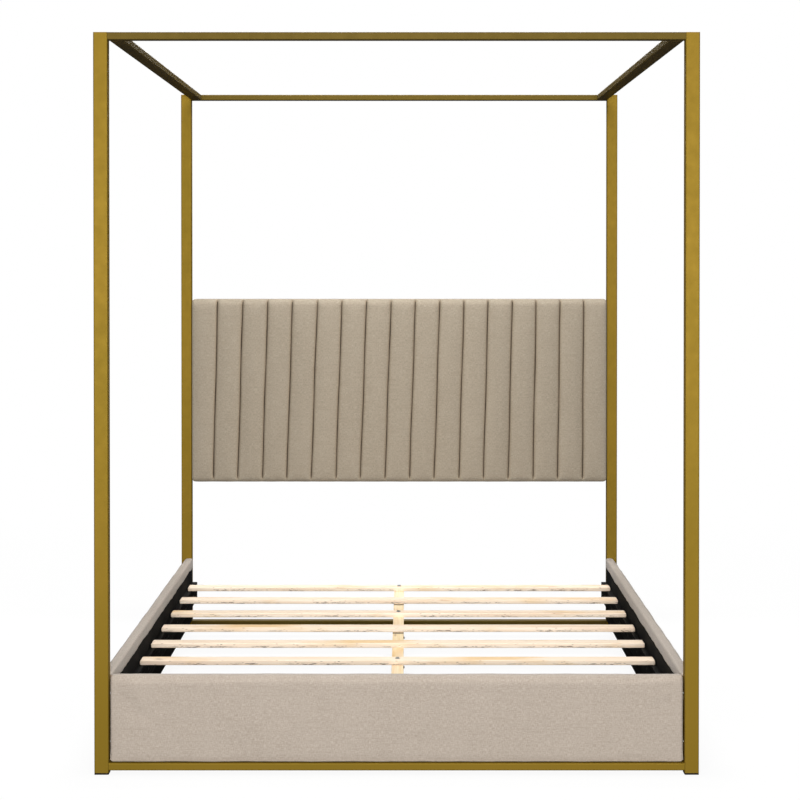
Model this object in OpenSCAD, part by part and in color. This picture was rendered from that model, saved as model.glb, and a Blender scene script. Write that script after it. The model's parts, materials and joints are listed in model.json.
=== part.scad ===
// Four poster canopy bed: a square tube frame with upholstered head, foot and
// side panels, a slatted base and a bolted centre beam on adjustable legs.
// Millimetres. Origin on the floor at the middle of the bed, +Z up,
// +Y towards the headboard, +X to the right when looking at the footboard.

/* [Overall size] */
// Overall width across the posts
bed_w = 1610; // [1200:5:2200]
// Overall length across the posts
bed_l = 2143; // [1750:5:2600]
// Overall height to the top of the posts
bed_h = 1975; // [1600:5:2400]

/* [Posts and beams] */
// Side of the square post tube
post_s = 38; // [30:1:60]
// Outside corner radius of every tube
tube_r = 3; // [2:0.5:4]
// Wall of every tube
tube_wall = 1.5; // [1:0.1:2.5]
// Height of the canopy beams and bottom rails
beam_h = 20; // [16:1:30]
// Floor to the underside of the bottom rails
bottom_rail_z = 11; // [11:1:40]
// Thickness of the cap on top of each post
cap_t = 2; // [1:0.5:4]
// Thickness of the pad under each post
pad_t = 4.5; // [2:0.5:8]

/* [Upholstered panels] */
// Gap between the bottom rails and the panels above them
panel_gap = 2; // [1:0.5:10]
// Height of the footboard and side rails
panel_h = 229; // [180:1:400]
// Thickness of the fabric cover and of the lining
skin_t = 2; // [1.5:0.1:3]
// Thickness of the foam in the footboard and side rails
foam_t = 8; // [6:0.5:16]
// Thickness of the board inside every panel
core_t = 20; // [16:0.1:26]
// How far the fabric turns down the inner side of a panel
wrap_h = 35; // [20:1:45]
// Radius along the top outer edge of the footboard and side rails
panel_edge_r = 14; // [6:0.5:16]
// Thickness of board in front of the bolts that hold the footboard
bolt_cover = 7; // [2:0.5:7]
// How far the side rails are set in from the outside of the posts
rail_recess = 8; // [5:0.5:10]
// Gap between the end of a head or foot panel and what stands beside it
panel_side_gap = 1; // [0.5:0.1:3]

/* [Headboard] */
// Floor to the bottom of the headboard
head_z = 549; // [350:1:700]
// Height of the headboard panel
head_h = 670; // [400:1:900]
// Thickness of the foam in the headboard
head_foam_t = 16; // [10:0.5:30]
// How far the headboard stands in front of the rear posts
head_proud = 6; // [2:0.5:8]
// Radius along the front edges of the headboard
head_edge_r = 12; // [6:0.5:14]

/* [Slatted base] */
// Number of slats is eight; this is the width of each
slat_w = 60; // [40:1:90]
// Thickness of each slat
slat_t = 14; // [10:0.5:22]
// Radius along the long edges of each slat
slat_r = 2; // [1:0.5:4]
// Gap from the footboard to the first slat
slat_first_gap = 11.5; // [2:0.5:60]
// Gap from the last slat to the rear posts
slat_last_gap = 150; // [20:1:250]
// Gap from the end of each slat to the side rail
slat_end_gap = 5; // [2:0.5:12]
// Top of the side rails down to the underside of the slats
slat_drop = 87; // [50:1:100]
// Width of the ledge that carries the slat ends
ledger_w = 18; // [15:0.5:30]
// Height of the ledge that carries the slat ends
ledger_h = 63; // [40:1:80]

/* [Centre beam and legs] */
// Width of the centre beam
spine_w = 35; // [32:1:60]
// Height of the centre beam
spine_h = 55; // [40:1:70]
// Length of the joiners between the beam's three lengths
joiner_l = 24; // [15:1:40]
// Outside diameter of the centre legs
leg_d = 30; // [26:1:32]
// Floor to the bottom of a centre leg's tube
leg_z = 14; // [13:1:25]
// Diameter of the levelling feet
leveler_d = 40; // [30:1:60]
// Thickness of the levelling feet
leveler_t = 6; // [5:0.5:8]
// Diameter of the levelling foot's stud
stud_d = 10; // [8:1:12]

/* [Fasteners] */
// Diameter of the frame bolts
bolt_d = 6; // [5:0.5:8]
// Diameter of the frame bolts' heads
bolt_head_d = 10; // [9:0.5:12]
// Diameter of the leg bolts
leg_bolt_d = 8; // [6:0.5:8]
// Diameter of the leg bolts' heads
leg_bolt_head_d = 14; // [13:0.5:18]
// Diameter of the wood screws
screw_d = 4; // [3:0.5:5]

/* [Hidden] */
$fn = 48;
hole_gap = 0.1;
stud_gap = 0.05;
cut = 1;

// Colours
gold = [0.64, 0.53, 0.24];
black = [0.06, 0.06, 0.06];
fabric = [0.74, 0.69, 0.63];
foam_colour = [0.93, 0.90, 0.78];
board = [0.72, 0.58, 0.42];
pine = [0.92, 0.83, 0.70];
zinc = [0.72, 0.72, 0.70];

// Frame places
post_x = bed_w / 2 - post_s / 2;
post_y = bed_l / 2 - post_s / 2;
clear_x = bed_w / 2 - post_s;
clear_y = bed_l / 2 - post_s;
top_beam_z = bed_h - beam_h / 2;
low_beam_z = bottom_rail_z + beam_h / 2;

// Panel places
panel_z = bottom_rail_z + beam_h + panel_gap;
panel_top = panel_z + panel_h;
panel_t = 2 * skin_t + foam_t + core_t;
head_t = 2 * skin_t + head_foam_t + core_t;
tube_inner_r = tube_r - tube_wall + 0.5;
foot_bolt_y = -clear_y - tube_wall - bolt_head_d / 2 - tube_inner_r;
foot_y = foot_bolt_y - bolt_d / 2 - bolt_cover - foam_t - skin_t;
foot_inner_y = foot_y + panel_t;
head_y = clear_y - head_proud;
rail_x = bed_w / 2 - rail_recess;
rail_inner_x = rail_x - panel_t;
head_l = 2 * (clear_x - panel_side_gap);
foot_l = 2 * (min(clear_x, rail_inner_x) - panel_side_gap);
rail_l = 2 * clear_y;

// Slat places: the slats share the length between the first and the last evenly
slat_count = 8;
slat_z = panel_top - slat_drop;
slat_first_y = foot_inner_y + slat_first_gap + slat_w / 2;
slat_last_y = clear_y - slat_last_gap - slat_w / 2;
slat_pitch = (slat_last_y - slat_first_y) / (slat_count - 1);
slat_l = 2 * (rail_inner_x - slat_end_gap);
function slat_y(i) = slat_first_y + (i - 1) * slat_pitch;

// Centre beam places: legs under slats 3, 6 and 8, joiners just in front of slats 5 and 7,
// to the nearest millimetre so that their faces meet
spine_end_inset = 10;
leg_slats = [3, 6, 8];
joiner_slats = [5, 7];
spine_start_y = slat_y(1) - slat_w / 2 + spine_end_inset;
spine_stop_y = slat_y(8) + slat_w / 2 - spine_end_inset;
function joiner_y(k) = round(slat_y(joiner_slats[k]) - slat_w / 2 - joiner_l / 2);
spine_z = slat_z - spine_h;
tenon_l = 25;
tenon_w = spine_w / 2;
tenon_h = spine_h / 2;
joiner_sink = 1;

// Centre legs
leg_plate_t = 3;
leg_plate_l = 70;
leg_wall = 2;
leg_boss_d = 18;
leg_boss_l = 18;
insert_l = 22;
stud_l = 40;
leg_bolt_head_t = 4;

// Frame bolts run along X through the posts' inner walls, at [y, z]
bolt_head_t = 6;
bolt_grip = 45;
foot_bolt_inset = 50;
head_bolt_inset = 100;
front_bolts = [
    [-post_y, low_beam_z],
    [foot_bolt_y, panel_z + foot_bolt_inset],
    [foot_bolt_y, panel_top - foot_bolt_inset],
    [-post_y, top_beam_z]
];
rear_bolts = [
    [post_y, low_beam_z],
    [post_y, head_z + head_bolt_inset],
    [post_y, head_z + head_h / 2],
    [post_y, head_z + head_h - head_bolt_inset],
    [post_y, top_beam_z]
];
plug_d = bolt_head_d + 2;
plug_t = tube_wall + 1;
pad_plug_l = 10;
cap_plug_l = 6;
block_l = 40;
stub_l = 45;
stub_screw_d = 5;
stub_screw_l = 6;

// Side rail hooks: a plate let into the board with two hooks in the post's slots
hook_t = 3;
hook_plate_l = 60;
hook_plate_inset = 25;
hook_neck_h = 18;
hook_tooth_l = 5;
hook_drop = 8;
hook_slot_extra = 10;
hook_wall_gap = 0.5;
hook_slot_w = hook_t + 1;
hook_x = rail_x - skin_t - foam_t - hook_t;
hook_plate_z = panel_z + hook_plate_inset;
hook_plate_h = panel_h - 2 * hook_plate_inset;
hook_z = [for (s = [-1, 1]) panel_z + panel_h / 2 + s * hook_plate_h / 4];
hook_screw_y = hook_plate_l / 3;
hook_screw_l = core_t - 5;
screw_head_t = 2;

// Ledge screws
ledger_screw_count = 8;
ledger_screw_l = 34;
function ledger_screw_y(i) =
    foot_inner_y + (i + 0.5) * (clear_y - foot_inner_y) / ledger_screw_count;

// ---------- Shared shapes ----------

// Rectangle with round corners, centred
module rounded_rect(w, h, r) {
    square([w - 2 * r, h], center = true);
    square([w, h - 2 * r], center = true);
    for (sx = [-1, 1], sy = [-1, 1])
        translate([sx * (w / 2 - r), sy * (h / 2 - r)])
            circle(r);
}

// Section of a rectangular tube, centred
module tube_section(w, h) {
    difference() {
        rounded_rect(w, h, tube_r);
        rounded_rect(w - 2 * tube_wall, h - 2 * tube_wall, tube_inner_r);
    }
}

// Block that fills a rectangular tube with a little room, along +Z
module tube_filler(w, h, l) {
    inner_w = w - 2 * tube_wall - 2 * hole_gap;
    inner_h = h - 2 * tube_wall - 2 * hole_gap;
    linear_extrude(l)
        rounded_rect(inner_w, inner_h, tube_inner_r);
}

// Cylinder along +X
module x_rod(d, l) {
    rotate([0, 90, 0])
        cylinder(d = d, h = l);
}

// Everything drawn for the right side, mirrored when s is -1
module on_side(s) {
    if (s < 0) mirror([1, 0, 0]) children();
    else children();
}

// Everything drawn for the rear end, mirrored when s is -1
module on_end(s) {
    if (s < 0) mirror([0, 1, 0]) children();
    else children();
}

// Countersunk wood screw along +X with its head's face at the origin
module wood_screw(l) {
    rotate([0, 90, 0]) {
        cylinder(d1 = 2 * screw_d, d2 = screw_d, h = screw_head_t);
        cylinder(d = screw_d, h = l);
    }
}

// Room for a countersunk wood screw
module wood_screw_hole(l) {
    rotate([0, 90, 0]) {
        cylinder(d1 = 2 * (screw_d + hole_gap), d2 = screw_d + hole_gap, h = screw_head_t);
        translate([0, 0, -hole_gap])
            cylinder(d = screw_d + hole_gap, h = l + 2 * hole_gap);
    }
}

// ---------- Frame ----------

// Post for the side sx and end sy, with its bolt holes and hook slots
module post(sx, sy) {
    bolts = sy < 0 ? front_bolts : rear_bolts;
    color(gold)
        difference() {
            translate([sx * post_x, sy * post_y, pad_t])
                linear_extrude(bed_h - cap_t - pad_t)
                    tube_section(post_s, post_s);
            on_side(sx)
                for (b = bolts) {
                    translate([clear_x - cut, b[0], b[1]])
                        x_rod(bolt_d + 2 * hole_gap, tube_wall + 2 * cut);
                    translate([bed_w / 2 - tube_wall - cut, b[0], b[1]])
                        x_rod(plug_d, tube_wall + 2 * cut);
                }
            on_side(sx)
                on_end(sy)
                    for (z = hook_z)
                        translate([hook_x - (hook_slot_w - hook_t) / 2, clear_y - cut,
                                   z - hook_neck_h / 2])
                            cube([hook_slot_w, tube_wall + 2 * cut,
                                  hook_neck_h + hook_slot_extra]);
        }
}

// Flat caps with a short plug down into each post, notched over the beam's bolt
module post_top_caps() {
    notch_d = plug_d + 2 * hole_gap;
    color(gold)
        for (sx = [-1, 1], sy = [-1, 1])
            translate([sx * post_x, sy * post_y, 0]) {
                translate([0, 0, bed_h - cap_t])
                    linear_extrude(cap_t)
                        rounded_rect(post_s, post_s, tube_r);
                difference() {
                    translate([0, 0, bed_h - cap_t - cap_plug_l])
                        tube_filler(post_s, post_s, cap_plug_l);
                    translate([-post_s / 2, 0, top_beam_z])
                        x_rod(notch_d, post_s);
                }
            }
}

// Pads under the posts with a short plug up into each tube
module post_foot_pads() {
    color(black)
        for (sx = [-1, 1], sy = [-1, 1])
            translate([sx * post_x, sy * post_y, 0]) {
                linear_extrude(pad_t)
                    rounded_rect(post_s, post_s, tube_r);
                translate([0, 0, pad_t])
                    tube_filler(post_s, post_s, pad_plug_l - pad_t);
            }
}

// Flush plugs in the bolts' access holes on the outside of the posts
module post_hole_plugs() {
    color(gold)
        for (sx = [-1, 1])
            on_side(sx)
                for (b = concat(front_bolts, rear_bolts))
                    translate([bed_w / 2 - plug_t, b[0], b[1]])
                        x_rod(plug_d - hole_gap, plug_t);
}

// Tube across the bed between two posts
module cross_tube(y, z) {
    color(gold)
        translate([-clear_x, y, z])
            rotate([90, 0, 90])
                linear_extrude(2 * clear_x)
                    tube_section(post_s, beam_h);
}

// Canopy tube along the bed, inboard of the posts, between the two cross tubes
side_beam_x = clear_x - post_s / 2;
module side_tube(sx) {
    color(gold)
        difference() {
            translate([sx * side_beam_x, clear_y, top_beam_z])
                rotate([90, 0, 0])
                    linear_extrude(2 * clear_y)
                        tube_section(post_s, beam_h);
            for (sy = [-1, 1])
                translate([sx * side_beam_x, sy * (clear_y - stub_l / 2),
                           bed_h - beam_h - cut])
                    cylinder(d = stub_screw_d + hole_gap, h = tube_wall + 2 * cut);
        }
}

// Threaded blocks in the ends of the cross tubes
module beam_end_blocks() {
    color(zinc)
        for (sx = [-1, 1], y = [-post_y, post_y], z = [low_beam_z, top_beam_z])
            on_side(sx)
                difference() {
                    translate([clear_x - block_l, y, z])
                        rotate([90, 0, 90])
                            tube_filler(post_s, beam_h, block_l);
                    translate([clear_x - block_l - cut, y, z])
                        x_rod(bolt_d + hole_gap, block_l + 2 * cut);
                }
}

// Stubs on the front and rear canopy beams that plug into the side beams
module side_beam_stubs() {
    color(zinc)
        for (sx = [-1, 1], sy = [-1, 1])
            on_end(sy)
                difference() {
                    translate([sx * side_beam_x, clear_y, top_beam_z])
                        rotate([90, 0, 0])
                            tube_filler(post_s, beam_h, stub_l);
                    translate([sx * side_beam_x, clear_y - stub_l / 2, bed_h - beam_h])
                        cylinder(d = stub_screw_d + hole_gap, h = stub_screw_l + hole_gap);
                }
}

// Set screws under the side beams that lock the stubs
module stub_screws() {
    color(black)
        for (sx = [-1, 1], sy = [-1, 1])
            translate([sx * side_beam_x, sy * (clear_y - stub_l / 2), bed_h - beam_h])
                cylinder(d = stub_screw_d, h = stub_screw_l);
}

// Bolts with their heads inside the posts
module frame_bolts() {
    color(zinc)
        for (sx = [-1, 1])
            on_side(sx)
                for (b = concat(front_bolts, rear_bolts))
                    translate([clear_x + tube_wall, b[0], b[1]]) {
                        x_rod(bolt_head_d, bolt_head_t);
                        translate([-bolt_grip, 0, 0])
                            x_rod(bolt_d, bolt_grip);
                    }
}

// ---------- Upholstered panels ----------
// A panel's length lies along X and is centred, its outer face is at Y = 0 and
// its bottom at Z = 0. The section below is drawn as [depth, height].

// Upright section with its two top corners and, if asked, its low outer corner round
module panel_outline(t, h, r_outer, r_inner, r_low) {
    translate([0, r_low])
        square([t, h - r_outer - r_low]);
    translate([r_low, 0])
        square([t - r_low, h - r_outer]);
    translate([r_outer, 0])
        square([t - r_outer, h - r_inner]);
    translate([r_outer, 0])
        square([t - r_outer - r_inner, h]);
    translate([r_outer, h - r_outer])
        circle(r_outer);
    translate([t - r_inner, h - r_inner])
        circle(r_inner);
    translate([r_low, r_low])
        circle(r_low);
}

inner_edge_r = 4;
low_edge_r = 3;

// Outside of a panel of thickness t, height h and outer edge radius r
module panel_solid(l, t, h, r) {
    translate([-l / 2, 0, 0])
        rotate([90, 0, 90])
            linear_extrude(l)
                panel_outline(t, h, r, inner_edge_r, low_edge_r);
}

// Room inside the cover
module panel_room(l, t, h, r) {
    translate([-l / 2, skin_t, skin_t])
        rotate([90, 0, 90])
            linear_extrude(l)
                panel_outline(t - 2 * skin_t, h - 2 * skin_t, r - skin_t,
                              inner_edge_r - skin_t, low_edge_r - skin_t);
}

// Lining on the inner side, below the turned-down fabric
module panel_lining(l, t, h) {
    translate([-l / 2, t - skin_t, skin_t])
        cube([l, skin_t, h - wrap_h - skin_t]);
}

module panel_cover(l, t, h, r, end_t) {
    inner_l = end_t > 0 ? l - 2 * end_t : l + 2 * cut;
    difference() {
        panel_solid(l, t, h, r);
        panel_room(inner_l, t, h, r);
        panel_lining(inner_l, t, h);
    }
}

// The part of the room between two depths: foam in front, board behind
module panel_layer(l, t, h, r, depth_0, depth_1) {
    intersection() {
        panel_room(l, t, h, r);
        translate([-l / 2 - cut, depth_0, -cut])
            cube([l + 2 * cut, depth_1 - depth_0, h + 2 * cut]);
    }
}

// Room for the frame bolts where they run into a panel
module bolt_holes(bolts) {
    for (sx = [-1, 1])
        on_side(sx)
            for (b = bolts)
                translate([clear_x - bolt_grip - cut, b[0], b[1]])
                    x_rod(bolt_d + 2 * hole_gap, bolt_grip + 2 * cut);
}

module place_headboard() {
    translate([0, head_y, head_z])
        children();
}

module place_footboard() {
    translate([0, foot_y, panel_z])
        children();
}

// Side rail on the right, mirrored for the left
module place_rail(sx) {
    on_side(sx)
        translate([rail_x, 0, panel_z])
            rotate([0, 0, 90])
                children();
}

head_room_l = head_l - 2 * skin_t;
foot_room_l = foot_l - 2 * skin_t;

module headboard_core() {
    color(board)
        difference() {
            place_headboard()
                panel_layer(head_room_l, head_t, head_h, head_edge_r,
                            skin_t + head_foam_t, head_t - skin_t);
            bolt_holes(rear_bolts);
        }
}

module headboard_foam() {
    color(foam_colour)
        place_headboard()
            panel_layer(head_room_l, head_t, head_h, head_edge_r,
                        skin_t, skin_t + head_foam_t);
}

module headboard_cover() {
    color(fabric)
        difference() {
            place_headboard()
                panel_cover(head_l, head_t, head_h, head_edge_r, skin_t);
            bolt_holes(rear_bolts);
        }
}

module headboard_back_lining() {
    color(black)
        place_headboard()
            panel_lining(head_room_l, head_t, head_h);
}

module footboard_core() {
    color(board)
        difference() {
            place_footboard()
                panel_layer(foot_room_l, panel_t, panel_h, panel_edge_r,
                            skin_t + foam_t, panel_t - skin_t);
            bolt_holes(front_bolts);
        }
}

module footboard_foam() {
    color(foam_colour)
        place_footboard()
            panel_layer(foot_room_l, panel_t, panel_h, panel_edge_r, skin_t, skin_t + foam_t);
}

module footboard_cover() {
    color(fabric)
        difference() {
            place_footboard()
                panel_cover(foot_l, panel_t, panel_h, panel_edge_r, skin_t);
            bolt_holes(front_bolts);
        }
}

module footboard_lining() {
    color(black)
        place_footboard()
            panel_lining(foot_room_l, panel_t, panel_h);
}

module side_rail_core(sx) {
    color(board)
        difference() {
            place_rail(sx)
                panel_layer(rail_l, panel_t, panel_h, panel_edge_r,
                            skin_t + foam_t, panel_t - skin_t);
            on_side(sx)
                for (sy = [-1, 1])
                    on_end(sy) {
                        translate([hook_x, clear_y - hook_plate_l, hook_plate_z])
                            cube([hook_t + cut, hook_plate_l + cut, hook_plate_h]);
                        hook_screw_holes();
                    }
            on_side(sx)
                ledger_screw_holes();
        }
}

module side_rail_foam(sx) {
    color(foam_colour)
        place_rail(sx)
            panel_layer(rail_l, panel_t, panel_h, panel_edge_r, skin_t, skin_t + foam_t);
}

module side_rail_cover(sx) {
    color(fabric)
        place_rail(sx)
            panel_cover(rail_l, panel_t, panel_h, panel_edge_r, 0);
}

module side_rail_lining(sx) {
    color(black)
        difference() {
            place_rail(sx)
                panel_lining(rail_l, panel_t, panel_h);
            on_side(sx)
                ledger_screw_holes();
        }
}

// ---------- Side rail hooks ----------

// One hook with its neck in the post's slot, for the rear right corner
module hook(z) {
    translate([hook_x, clear_y - cut, z - hook_neck_h / 2])
        cube([hook_t, cut + tube_wall + hook_wall_gap + hook_tooth_l, hook_neck_h]);
    translate([hook_x, clear_y + tube_wall + hook_wall_gap, z - hook_neck_h / 2 - hook_drop])
        cube([hook_t, hook_tooth_l, hook_neck_h + hook_drop]);
}

module hook_screw_places() {
    for (i = [1, 2], z = [hook_plate_z + hook_plate_h / 6,
                          hook_plate_z + hook_plate_h * 5 / 6])
        translate([hook_x + hook_t, clear_y - i * hook_screw_y, z])
            mirror([1, 0, 0])
                children();
}

module hook_screw_holes() {
    hook_screw_places()
        wood_screw_hole(hook_screw_l);
}

module rail_hooks(sx) {
    color(zinc)
        on_side(sx)
            for (sy = [-1, 1])
                on_end(sy)
                    difference() {
                        union() {
                            translate([hook_x, clear_y - hook_plate_l, hook_plate_z])
                                cube([hook_t, hook_plate_l, hook_plate_h]);
                            for (z = hook_z) hook(z);
                        }
                        hook_screw_holes();
                    }
}

module hook_screws() {
    color(zinc)
        for (sx = [-1, 1], sy = [-1, 1])
            on_side(sx)
                on_end(sy)
                    hook_screw_places()
                        wood_screw(hook_screw_l);
}

// ---------- Slatted base ----------

module ledger_screw_places() {
    for (i = [0 : ledger_screw_count - 1])
        translate([rail_inner_x - ledger_w, ledger_screw_y(i), slat_z - ledger_h / 2])
            children();
}

module ledger_screw_holes() {
    ledger_screw_places()
        wood_screw_hole(ledger_screw_l);
}

module slat_ledger(sx) {
    color(black)
        on_side(sx)
            difference() {
                translate([rail_inner_x - ledger_w, foot_inner_y, slat_z - ledger_h])
                    cube([ledger_w, clear_y - foot_inner_y, ledger_h]);
                ledger_screw_holes();
            }
}

module ledger_screws() {
    color(black)
        for (sx = [-1, 1])
            on_side(sx)
                ledger_screw_places()
                    wood_screw(ledger_screw_l);
}

module leg_bolt_holes() {
    for (i = leg_slats)
        translate([0, slat_y(i), spine_z - cut])
            cylinder(d = leg_bolt_d + 2 * hole_gap, h = spine_h + slat_t + 2 * cut);
}

module slat(i) {
    color(pine)
        difference() {
            translate([-slat_l / 2, slat_y(i), slat_z + slat_t / 2])
                rotate([90, 0, 90])
                    linear_extrude(slat_l)
                        rounded_rect(slat_w, slat_t, slat_r);
            leg_bolt_holes();
        }
}

// ---------- Centre beam and legs ----------

// One length of the centre beam, with a mortise wherever it meets a joiner
module spine_length(y_0, y_1) {
    color(pine)
        difference() {
            translate([-spine_w / 2, y_0, spine_z])
                cube([spine_w, y_1 - y_0, spine_h]);
            for (k = [0, 1])
                joiner_tenon(k, 2 * hole_gap);
            leg_bolt_holes();
        }
}

module joiner_tenon(k, room) {
    translate([-(tenon_w + room) / 2, joiner_y(k) - joiner_l / 2 - tenon_l - room / 2,
               spine_z + (spine_h - tenon_h - room) / 2])
        cube([tenon_w + room, joiner_l + 2 * tenon_l + room, tenon_h + room]);
}

module centre_beam_front() spine_length(spine_start_y, joiner_y(0) - joiner_l / 2);
module centre_beam_middle() spine_length(joiner_y(0) + joiner_l / 2, joiner_y(1) - joiner_l / 2);
module centre_beam_rear() spine_length(joiner_y(1) + joiner_l / 2, spine_stop_y);

// Moulded joiners with a tenon into each length of the beam
module beam_joiners() {
    color(black)
        for (k = [0, 1]) {
            translate([-spine_w / 2, joiner_y(k) - joiner_l / 2, spine_z])
                cube([spine_w, joiner_l, spine_h - joiner_sink]);
            joiner_tenon(k, 0);
        }
}

// Round tube leg with a top plate and a threaded boss for its bolt
module centre_leg(i) {
    color(black)
        translate([0, slat_y(i), 0])
            difference() {
                union() {
                    translate([0, 0, leg_z])
                        cylinder(d = leg_d, h = spine_z - leg_plate_t - leg_z);
                    translate([-spine_w / 2, -leg_plate_l / 2, spine_z - leg_plate_t])
                        cube([spine_w, leg_plate_l, leg_plate_t]);
                }
                translate([0, 0, leg_z - cut])
                    cylinder(d = leg_d - 2 * leg_wall,
                             h = spine_z - leg_plate_t - leg_boss_l - leg_z + cut);
                difference() {
                    translate([0, 0, spine_z - leg_plate_t - leg_boss_l - cut])
                        cylinder(d = leg_d - 2 * leg_wall, h = leg_boss_l + cut);
                    translate([0, 0, spine_z - leg_plate_t - leg_boss_l])
                        cylinder(d = leg_boss_d, h = leg_boss_l);
                }
                translate([0, 0, spine_z - leg_plate_t - leg_boss_l - cut])
                    cylinder(d = leg_bolt_d + 2 * hole_gap, h = leg_boss_l + leg_plate_t + 2 * cut);
            }
}

// Inserts in the feet of the centre legs, bored for the levelling studs
module leg_inserts() {
    color(black)
        for (i = leg_slats)
            translate([0, slat_y(i), leg_z])
                difference() {
                    cylinder(d = leg_d - 2 * leg_wall - hole_gap, h = insert_l);
                    translate([0, 0, -cut])
                        cylinder(d = stud_d + 2 * stud_gap, h = insert_l + 2 * cut);
                }
}

// Levelling foot: a disc with a chamfered rim on a stud
module leveler(i) {
    rim = 1.5;
    color(black)
        translate([0, slat_y(i), 0]) {
            cylinder(d = leveler_d, h = leveler_t - rim);
            translate([0, 0, leveler_t - rim])
                cylinder(d1 = leveler_d, d2 = leveler_d - 2 * rim, h = rim);
            translate([0, 0, leveler_t])
                cylinder(d = stud_d, h = stud_l);
        }
}

// Bolts from the top of the slats through the beam into the legs
module leg_bolts() {
    color(zinc)
        for (i = leg_slats)
            translate([0, slat_y(i), 0]) {
                translate([0, 0, spine_z - leg_plate_t - leg_boss_l])
                    cylinder(d = leg_bolt_d, h = leg_boss_l + leg_plate_t + spine_h + slat_t);
                translate([0, 0, slat_z + slat_t])
                    cylinder(d1 = leg_bolt_head_d, d2 = leg_bolt_head_d - 4,
                             h = leg_bolt_head_t);
            }
}

// ---------- Nodes ----------

post(-1, -1);  // post_front_left
post(1, -1);  // post_front_right
post(-1, 1);  // post_rear_left
post(1, 1);  // post_rear_right
post_top_caps();
post_foot_pads();
post_hole_plugs();
cross_tube(-post_y, top_beam_z);  // top_beam_front
cross_tube(post_y, top_beam_z);  // top_beam_rear
side_tube(-1);  // top_beam_left
side_tube(1);  // top_beam_right
cross_tube(-post_y, low_beam_z);  // bottom_rail_front
cross_tube(post_y, low_beam_z);  // bottom_rail_rear
beam_end_blocks();
side_beam_stubs();
stub_screws();
frame_bolts();
headboard_core();
headboard_foam();
headboard_cover();
headboard_back_lining();
footboard_core();
footboard_foam();
footboard_cover();
footboard_lining();
side_rail_core(-1);  // side_rail_left_core
side_rail_foam(-1);  // side_rail_left_foam
side_rail_cover(-1);  // side_rail_left_cover
side_rail_lining(-1);  // side_rail_left_lining
side_rail_core(1);  // side_rail_right_core
side_rail_foam(1);  // side_rail_right_foam
side_rail_cover(1);  // side_rail_right_cover
side_rail_lining(1);  // side_rail_right_lining
rail_hooks(-1);  // rail_hooks_left
rail_hooks(1);  // rail_hooks_right
hook_screws();
slat_ledger(-1);  // slat_ledger_left
slat_ledger(1);  // slat_ledger_right
ledger_screws();
slat(1);  // slat_1
slat(2);  // slat_2
slat(3);  // slat_3
slat(4);  // slat_4
slat(5);  // slat_5
slat(6);  // slat_6
slat(7);  // slat_7
slat(8);  // slat_8
centre_beam_front();
centre_beam_middle();
centre_beam_rear();
beam_joiners();
centre_leg(leg_slats[0]);  // centre_leg_front
centre_leg(leg_slats[1]);  // centre_leg_middle
centre_leg(leg_slats[2]);  // centre_leg_rear
leg_inserts();
leg_bolts();
leveler(leg_slats[0]);  // leveler_front
leveler(leg_slats[1]);  // leveler_middle
leveler(leg_slats[2]);  // leveler_rear
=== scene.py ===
"""Looks of the four poster canopy bed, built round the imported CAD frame. Metres."""
import json
import math

import bmesh
import bpy
from mathutils import Matrix, Vector, noise


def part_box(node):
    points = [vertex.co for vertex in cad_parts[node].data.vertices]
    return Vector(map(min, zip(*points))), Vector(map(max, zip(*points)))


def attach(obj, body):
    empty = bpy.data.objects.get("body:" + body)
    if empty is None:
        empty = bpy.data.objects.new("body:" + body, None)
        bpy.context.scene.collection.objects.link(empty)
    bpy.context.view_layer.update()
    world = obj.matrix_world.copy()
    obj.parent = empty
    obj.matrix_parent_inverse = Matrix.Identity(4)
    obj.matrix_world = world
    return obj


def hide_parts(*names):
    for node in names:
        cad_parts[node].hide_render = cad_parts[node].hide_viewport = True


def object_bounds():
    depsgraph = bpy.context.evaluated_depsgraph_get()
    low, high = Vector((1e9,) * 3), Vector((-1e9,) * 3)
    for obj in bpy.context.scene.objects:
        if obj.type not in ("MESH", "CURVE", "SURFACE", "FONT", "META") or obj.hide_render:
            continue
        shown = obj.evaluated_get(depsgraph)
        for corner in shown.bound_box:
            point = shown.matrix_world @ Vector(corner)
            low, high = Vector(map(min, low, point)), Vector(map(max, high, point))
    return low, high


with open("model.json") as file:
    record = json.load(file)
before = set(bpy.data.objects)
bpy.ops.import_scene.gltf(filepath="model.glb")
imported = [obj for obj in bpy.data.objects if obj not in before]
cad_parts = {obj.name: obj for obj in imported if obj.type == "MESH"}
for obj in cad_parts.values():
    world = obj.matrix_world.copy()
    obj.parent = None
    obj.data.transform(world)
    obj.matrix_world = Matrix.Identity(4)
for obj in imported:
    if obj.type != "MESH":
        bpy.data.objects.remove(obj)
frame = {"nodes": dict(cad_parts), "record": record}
cad_low, cad_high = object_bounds()
nodes = frame["nodes"]

BED = "bed"
SLATS = [f"slat_{i}" for i in range(1, 9)]


# ---------------------------------------------------------------- materials

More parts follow.
